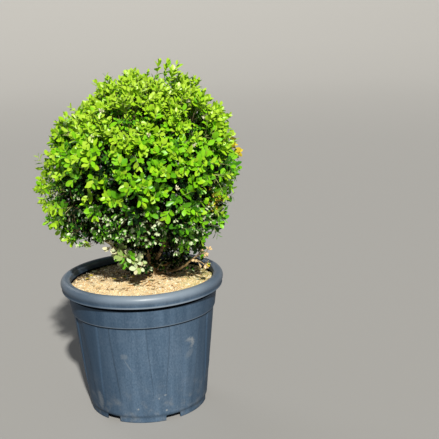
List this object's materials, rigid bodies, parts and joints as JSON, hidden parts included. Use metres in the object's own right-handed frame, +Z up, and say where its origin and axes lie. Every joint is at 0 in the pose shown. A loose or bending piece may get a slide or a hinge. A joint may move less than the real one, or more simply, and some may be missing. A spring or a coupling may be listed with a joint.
{
  "type": "potted boxwood ball shrub",
  "caption": "Small-leaved evergreen shrub grown to a loose ball on a short forking stem, standing in a round fluted nursery pot filled with soil.",
  "frame": {"origin": "middle of the pot's underside, on the level that it stands on", "axes": "+Z up; -Y towards the pictured front; +X to the right seen from the front"},
  "size_m": [0.6069, 0.5736, 1.0472],
  "materials": {
    "pot": "weathered satin moulded plastic, bluish dark grey",
    "soil": "dry sandy bark compost",
    "bark": "greyish tan finely cracked bark",
    "leaf": "waxy small leaves, yellow-green at the tips",
    "pale_leaf": "pale grey-green leaves",
    "dry_leaf": "dry beige leaves"
  },
  "bodies": {
    "root": {"pot": "pot", "soil": "soil", "trunk": "bark", "bough_upper_front": "bark", "bough_upper_right": "bark", "bough_upper_back_right": "bark", "bough_upper_back_left": "bark", "bough_upper_left": "bark", "bough_lower_front": "bark", "bough_lower_right": "bark", "bough_lower_back_right": "bark", "bough_lower_back_left": "bark", "bough_lower_left": "bark", "bough_low_shoot_front": "bark", "bough_low_shoot_right": "bark", "bough_dry_shoot_right": "bark", "foliage_top": "leaf", "foliage_upper_front": "leaf", "foliage_upper_right": "leaf", "foliage_upper_back_right": "leaf", "foliage_upper_back_left": "leaf", "foliage_upper_left": "leaf", "foliage_lower_front": "leaf", "foliage_lower_right": "leaf", "foliage_lower_back_right": "leaf", "foliage_lower_back_left": "leaf", "foliage_lower_left": "leaf", "foliage_low_shoot_front": "pale_leaf", "foliage_low_shoot_right": "pale_leaf", "foliage_dry_shoot_right": "dry_leaf"}
  },
  "joints": []
}
